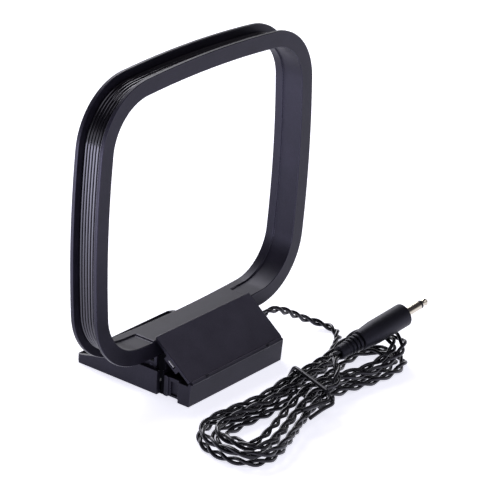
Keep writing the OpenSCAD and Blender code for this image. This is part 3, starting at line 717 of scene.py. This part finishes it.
leg_inner, leg_outer, leg_post, leg_bridge, floor_top = 25.45, 27.05, 1.4, 12.4, 1.6
leg_set_back, leg_top, leg_rounding = 0.3, 15.6, 0.15
leg_front, leg_rear = loop_front + leg_set_back, loop_back - leg_set_back
notch_front, notch_rear = leg_front + leg_post, leg_rear - leg_post
leg_outline = [(leg_front, floor_top), (leg_rear, floor_top), (leg_rear, leg_top), (notch_rear, leg_top),
               (notch_rear, leg_bridge), (notch_front, leg_bridge), (notch_front, leg_top), (leg_front, leg_top)]
legs = [plate(name, leg_outline, side * leg_inner, side * leg_outer, leg_rounding)
        for side, name in ((-1, "loop_leg_left"), (1, "loop_leg_right"))]
print("legs:", [leg.name for leg in legs])

# %% [markdown]
# A small round nub on the outside of each leg snaps into the tray. It is a ball pressed half flat, which is how
# such a nub looks in a mould, and it is joined to its leg because the two are one moulding.

# %% Nubs on the legs
nub_radius, nub_flatness, nub_forward, nub_height = 0.55, 0.5, 3.9, 10.7
for side, leg in zip((-1, 1), legs):
    work_on(None)
    bpy.ops.mesh.primitive_uv_sphere_add(
        segments=24, ring_count=12, radius=nub_radius * MM,
        location=(side * leg_outer * MM, (loop_middle - nub_forward) * MM, nub_height * MM))
    nub = primitive_done("nub")
    nub.scale.x = nub_flatness
    nub.data.materials.append(abs_edge)
    settle(nub, 60)
    leg.select_set(True)
    bpy.context.view_layer.objects.active = leg
    bpy.ops.object.join()
    print(leg.name, "with its nub has", len(leg.data.polygons), "faces")

# %% [markdown]
# The winding is seven turns of thin insulated wire, laid side by side in one layer that fills the groove. Each
# turn stays level all the way round and steps over to the next place on the bottom bar. Seven separate rings
# would look the same, but this is one wire, as on the real one. No winding is quite even, so the wire wanders
# by a few hundredths of a millimetre.

# %% Winding
turns, wire_diameter, wire_pitch, wire_depth = 7, 1.36, 1.43, 3.72
wander_in, wander_across = 0.02, 0.03
first_y = loop_middle - (turns - 1) * wire_pitch / 2
wander = np.random.default_rng(7)
half_turn = right_side(14, 8, 5)
turn_places = [*(bottom_place(x) for x in (19, 8, -4, -16, -28)), *mirrored(half_turn), top_middle,
               *reversed(half_turn), bottom_place(33)]
wire_line = []
for turn in range(turns):
    for place, out in turn_places:
        p = place - out * (wire_depth + wander_in * wander.random())
        y = first_y + turn * wire_pitch + wander_across * (wander.random() - 0.5)
        wire_line.append((p.x, y, p.y + loop_z))
winding = wire("wound_wire", wire_line, wire_diameter)

# %% [markdown]
# The winding's two ends drop out of the groove at the right, pass through the leg's notch and lie beside each
# other where the lead starts. They move with the bobbin, and the lead stays with the stand. Their ways are
# listed point by point, because they have to clear the leg and the tray.

# %% Wire ends
first_place, last_place = Vector(wire_line[0]), Vector(wire_line[-1])
strand_up = Vector((0, 0, strand_offset))
start_route = [Vector(lead_start) + strand_up, (36.6, -13.6, 14), (35, -13.4, 13.95), (33.4, -12.9, 13.85),
               (31.6, -11.9, 13.7), (30, -10.6, 13.5), (28.8, -9.4, 13.5), (27.8, -8.6, 14), (26.6, -8.15, 15.1),
               (25.2, -8.15, 16.3), (23.6, -8.15, 17.4), (22, -8.15, 18.1), first_place]
end_route = [Vector(lead_start) - strand_up, (36.6, -13.6, 12.4), (35, -13.1, 12.35), (33.6, -11.8, 12.4),
             (32.4, -10.2, 12.8), (31.4, -8.6, 13.6), (30.6, -7, 14.8), (30, -5.4, 15.6), (29.5, -3.6, 16.1),
             (29.2, -2, 16.3), (29.2, -0.6, 16.8), (29.6, 0.2, 17.5), (30.8, 0.43, 18.6), last_place]
start_tail = wire("start_wire_end", smooth_line(start_route, 5), wire_diameter)
end_tail = wire("end_wire_end", smooth_line(end_route, 5), wire_diameter)

# %% [markdown]
# The tray and the sloping panel are plain mouldings, and the part already has their exact shape, with the hinge
# between them. A copy of each is merged into one skin, its flat faces are joined up and its edges are rounded.
# Rounding bends the shading of the faces next to it, so the normals are then weighted by area, which keeps the
# broad faces flat to the eye.

# %% Base and panel
base_rounding, panel_rounding = 0.14, 0.28


def rounded_copy(node, name, rounding):
    """A copy of one of the part's solids with rounded edges, ready for its materials."""
    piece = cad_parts[node].copy()
    piece.data = piece.data.copy()
    piece.name = name
    piece.data.name = name
    piece.parent = None
    bpy.context.scene.collection.objects.link(piece)
    settle(piece, merge=1e-6)
    bpy.ops.object.mode_set(mode="EDIT")
    bpy.ops.mesh.select_all(action="SELECT")
    bpy.ops.mesh.dissolve_limited(angle_limit=math.radians(0.1))
    bpy.ops.object.mode_set(mode="OBJECT")
    round_edges(piece, rounding, segments=2)
    weighted = piece.modifiers.new("flat_faces_shade_flat", "WEIGHTED_NORMAL")
    weighted.weight = 100
    bpy.ops.object.modifier_apply(modifier=weighted.name)
    print(name, len(piece.data.polygons), "faces")
    return piece


base = rounded_copy("stand_base", "tray_base", base_rounding)
panel = rounded_copy("prop_panel", "sloping_panel", panel_rounding)

# %% [markdown]
# From outside, the fold between the front wall and the panel is one smooth round bead: the real hinge is hidden
# inside it. The bead is round about the hinge's own line, so it may turn with the panel and still fill the
# wall's edge. A strip on the wall reaches up to it. Both are plates, seen from the side as (y, z).

# %% Fold between wall and panel
hinge = Vector((-28.6, 9.8))
panel_angle = math.radians(37.1)
bead_radius, bead_half, bead_tail, bead_steps, panel_half_t = 0.95, 28.2, 1.7, 16, 0.7
wall_half, fold_rounding = 29.1, 0.1
up_slope = Vector((math.cos(panel_angle), math.sin(panel_angle)))
out_of_panel = Vector((-up_slope.y, up_slope.x))
meets = math.degrees(math.asin(panel_half_t / bead_radius))
tail_end = hinge + bead_tail * up_slope
bead = [tail_end - panel_half_t * out_of_panel, tail_end + panel_half_t * out_of_panel]
for i in range(bead_steps + 1):
    a = panel_angle + math.radians(meets + (360 - 2 * meets) * i / bead_steps)
    bead.append(hinge + bead_radius * Vector((math.cos(a), math.sin(a))))
fold = plate("fold_bead", bead, -bead_half, bead_half, fold_rounding)
wall_strip = [(-29.11, 7.6), (-29.28, 9.6), (-28.9, 9.9), (-28.3, 9.9), (-27.91, 9.6), (-27.75, 7.6)]
strip = plate("wall_strip", wall_strip, -wall_half, wall_half, fold_rounding)

# %% [markdown]
# A small pale bar shows in the window of each lug at the panel's sides. Its pale, slightly glossy colour is a
# painted highlight. All these pieces are then joined to the moulding that they are part of.

# %% Window bars, and joining
bar_from, bar_to, bar_top, bar_bottom, bar_outer, bar_inner = 9.5, 12.7, -1.2, -1.65, 29, 28.1
bar_rounding = 0.08
bar_corners = [hinge + up * up_slope + out * out_of_panel for up, out in (
    (bar_from, bar_bottom), (bar_from, bar_top), (bar_to, bar_top), (bar_to, bar_bottom))]
bars = [plate("window_bar", bar_corners, side * bar_outer, side * bar_inner, bar_rounding) for side in (-1, 1)]
# The bars' pale colour is a painted highlight.
cover(new_material("abs_painted_highlight", "b4b3bc", 0.35)[0], *bars)
for piece, whole in ((fold, panel), (strip, base), (bars[0], panel), (bars[1], panel)):
    work_on(whole)
    piece.select_set(True)
    bpy.ops.object.join()
print("all joined: panel", len(panel.data.polygons), "faces, tray", len(base.data.polygons), "faces")

# %% [markdown]
# Some faces of the tray get painted shade, a darker and duller material: its floor inside, and both ends of the
# upright plate, which lie in shadow. The panel's broad outer face is the opposite: it gets a paler colour, a
# painted sheen for the light it catches. Such faces could be picked by hand. In a script they are found by their
# place and the way they look.

# %% Painted shade and painted sheen
slot_middle, slot_half, slot_from_x = -13.6, 1.35, 20


# Faces that get painted shade: the tray's inside floor and the ends of the plate in the slot.
def gets_painted_shade(face):
    inside_floor = face.normal.z > 0.9 and abs(face.center.z / MM - floor_top) < 0.1
    in_slot = abs(face.center.y / MM - slot_middle) < slot_half and abs(face.center.x / MM) > slot_from_x
    return inside_floor or (in_slot and abs(face.normal.x) > 0.5)


# Faces that get the painted sheen: the panel's broad outer face.
def looks_up_the_slope(face):
    return face.material_index == 0 and face.normal.z > 0.6


for piece, material, wanted in ((base, abs_painted_shade, gets_painted_shade), (panel, abs_painted_sheen, looks_up_the_slope)):
    piece.data.materials.append(material)
    faces = [face for face in piece.data.polygons if wanted(face)]
    for face in faces:
        face.material_index = len(piece.data.materials) - 1
    print(len(faces), "faces of", piece.name, "get", material.name)

# %% [markdown]
# All the wires have a PVC skin, extruded smooth. On the winding it is glossy, on the lead it is satin from
# handling, and the tie's coating is duller. The skin is never quite even, so its roughness varies in patches and
# a slow ripple breaks up the long highlights.

# %% Extruded PVC
patch_mm, ripple_mm = 3, 2.5


def smooth_plastic(name, hex_colour, roughness, gloss=0.5):
    material, tree, shader, place = new_material(name, hex_colour, roughness)
    shader.inputs["Specular IOR Level"].default_value = gloss
    shader.inputs["Specular Tint"].default_value = linear("eeecff")
    patches = add_node(tree, "ShaderNodeTexNoise", {"Vector": place, "Scale": per_mm(patch_mm), "Detail": 3})
    uneven = add_node(tree, "ShaderNodeMapRange",
                      {"Value": patches.outputs["Fac"], "From Min": 0.3, "From Max": 0.7,
                       "To Min": roughness - 0.04, "To Max": roughness + 0.05})
    tree.links.new(uneven.outputs["Result"], shader.inputs["Roughness"])
    ripple = add_node(tree, "ShaderNodeTexNoise", {"Vector": place, "Scale": per_mm(ripple_mm), "Detail": 1})
    bump = add_node(tree, "ShaderNodeBump",
                    {"Strength": 0.15, "Distance": 0.02 * MM, "Height": ripple.outputs["Fac"]})
    tree.links.new(bump.outputs["Normal"], shader.inputs["Normal"])
    return material


cover(smooth_plastic("winding_pvc_gloss", "0a0a0d", 0.13, gloss=1.0), winding, start_tail, end_tail)
cover(smooth_plastic("lead_pvc_satin", "0b0b0f", 0.22), lead)
cover(smooth_plastic("tie_pvc_dull", "0e0e12", 0.34), tie)
print("wires have", [piece.data.materials[0].name for piece in (winding, lead, tie)])

# %% [markdown]
# The plug's grip is soft PVC moulded over a hard core, matte like rubber. The pin is brass with bright nickel
# plate, a warm mirror with fine wear. Both patterns are drawn coarser than the real ones, which would be too
# fine to show. The ring and the core are nylon, smooth from the mould like the wires' skin, so they share its
# recipe.

# %% Plug finishes
grip_grain_mm, nickel_wear_mm = 0.6, 0.7


def moulded_pvc():
    material, tree, shader, place = new_material("plug_pvc_matte", "0d0d12", 0.5)
    shader.inputs["Specular IOR Level"].default_value = 0.35
    shader.inputs["Specular Tint"].default_value = linear("dcdaff")
    grain = add_node(tree, "ShaderNodeTexNoise", {"Vector": place, "Scale": per_mm(grip_grain_mm), "Detail": 3})
    colour = add_node(tree, "ShaderNodeValToRGB", {"Fac": grain.outputs["Fac"]})
    colour.color_ramp.elements[0].position = 0.35
    colour.color_ramp.elements[0].color = linear("09090d")
    colour.color_ramp.elements[1].position = 0.75
    colour.color_ramp.elements[1].color = linear("121218")
    tree.links.new(colour.outputs["Color"], shader.inputs["Base Color"])
    bump = add_node(tree, "ShaderNodeBump",
                    {"Strength": 0.3, "Distance": 0.03 * MM, "Height": grain.outputs["Fac"]})
    tree.links.new(bump.outputs["Normal"], shader.inputs["Normal"])
    return material


def bright_nickel():
    material, tree, shader, place = new_material("bright_nickel_plate", "c9c2b6", 0.16, metallic=1.0)
    wear = add_node(tree, "ShaderNodeTexNoise", {"Vector": place, "Scale": per_mm(nickel_wear_mm), "Detail": 3})
    uneven = add_node(tree, "ShaderNodeMapRange", {"Value": wear.outputs["Fac"], "From Min": 0.3, "From Max": 0.7,
                                                   "To Min": 0.12, "To Max": 0.24})
    tree.links.new(uneven.outputs["Result"], shader.inputs["Roughness"])
    return material


cover(moulded_pvc(), plug_body)
cover(bright_nickel(), sleeve, tip)
cover(smooth_plastic("ring_nylon_black", "151517", 0.35), ring)
cover(smooth_plastic("core_nylon_natural", "d8d4c8", 0.45), core)
print("plug has", [piece.data.materials[0].name for piece in (plug_body, sleeve, ring, tip, core)])

# %% [markdown]
# Each piece now moves with the body it belongs to, and stands in for the plain solid in the part.

# %% Join the pieces to the part
for piece, body, nodes, slot in (
        (loop_body, "loop", ("loop_frame",), "frame_plastic"), (legs[0], "loop", (), "frame_plastic"),
        (legs[1], "loop", (), "frame_plastic"), (winding, "loop", ("loop_winding",), "winding_enamel"),
        (start_tail, "loop", ("winding_start_tail",), "winding_enamel"),
        (end_tail, "loop", ("winding_end_tail",), "winding_enamel"),
        (base, "stand", ("stand_base",), "frame_plastic"), (panel, "panel", ("prop_panel",), "frame_plastic"),
        (lead, "stand", ("lead_run", "lead_hank", "lead_tail"), "lead_sheath"),
        (tie, "stand", ("hank_tie",), "tie_sheath"), (plug_body, "stand", ("plug_overmould",), "plug_rubber"),
        (core, "stand", ("plug_premould",), "premould_plastic"), (sleeve, "stand", ("plug_sleeve",), "nickel"),
        (ring, "stand", ("plug_insulator",), "insulator_plastic"), (tip, "stand", ("plug_tip",), "nickel")):
    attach(piece, body)
    if nodes:
        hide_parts(*nodes)

# %% [markdown]
# The photograph was taken on a lit white table. The table glows a little, so shadows stay pale, and towards the
# back left it is far brighter than a picture can show: the long bright lines on the wires are its mirror image.
# A lamp there would light every face that looks that way, and the glow shows mostly in what is glossy.

# %% Floor
glow_way, glow_from, glow_to, glow_near, glow_far = (-0.78, 0.62, 0), 0.09, 0.3, 0.8, 5
work_on(None)
bpy.ops.mesh.primitive_plane_add(size=6)
floor = primitive_done("floor")
floor_material, floor_tree, floor_shader, floor_place = new_material("white_table", "f0f0f4", 0.7)
floor_shader.inputs["Emission Color"].default_value = linear("f4f4ff")
to_back_left = add_node(floor_tree, "ShaderNodeVectorMath", {0: floor_place, 1: glow_way},
                        operation="DOT_PRODUCT")
table_glow = add_node(floor_tree, "ShaderNodeMapRange",
                      {"Value": to_back_left.outputs["Value"], "From Min": glow_from, "From Max": glow_to,
                       "To Min": glow_near, "To Max": glow_far})
floor_tree.links.new(table_glow.outputs["Result"], floor_shader.inputs["Emission Strength"])
cover(floor_material, floor)
print("floor glows from", glow_near, "to", glow_far)

# %% [markdown]
# The walls are white only near the horizon, and the ceiling is dark. The main light is low behind the object, so
# faces that point up shine and faces towards the camera stay dark. A weak one in front keeps them from going
# black. Both are broad, so no shadow has a hard edge.

# %% Walls and lights
white_until, dark_from = 0.16, 0.4
world = bpy.data.worlds.new("studio")
world.use_nodes = True
sky = world.node_tree
height = add_node(sky, "ShaderNodeSeparateXYZ", {0: add_node(sky, "ShaderNodeTexCoord").outputs["Generated"]})
glow = add_node(sky, "ShaderNodeValToRGB", {"Fac": height.outputs["Z"]})
glow.color_ramp.elements[0].position = white_until
glow.color_ramp.elements[0].color = (1, 1, 1, 1)
glow.color_ramp.elements[1].position = dark_from
glow.color_ramp.elements[1].color = (0.06, 0.055, 0.065, 1)
sky.links.new(glow.outputs["Color"], sky.nodes["Background"].inputs["Color"])
bpy.context.scene.world = world
bpy.context.scene.view_settings.view_transform = "Standard"
lit_point = Vector((0, -0.02, 0.05))


def soft_light(name, bearing_degrees, elevation_degrees, distance, size, watts):
    """A square light, distance metres from the object's middle, that faces it."""
    turn, rise = math.radians(bearing_degrees), math.radians(elevation_degrees)
    way = Vector((math.cos(turn) * math.cos(rise), math.sin(turn) * math.cos(rise), math.sin(rise)))
    data = bpy.data.lights.new(name, "AREA")
    data.shape = "RECTANGLE"
    data.size, data.size_y = size, size
    data.energy = watts
    light = bpy.data.objects.new(name, data)
    light.location = lit_point + distance * way
    light.rotation_euler = (-way).to_track_quat("-Z", "Y").to_euler()
    bpy.context.scene.collection.objects.link(light)


soft_light("low_back_panel", bearing_degrees=63, elevation_degrees=34, distance=1.3, size=0.9, watts=14)
soft_light("front_fill", bearing_degrees=-100, elevation_degrees=50, distance=1.4, size=0.9, watts=3)
print("lights:", [light.name for light in bpy.data.lights])
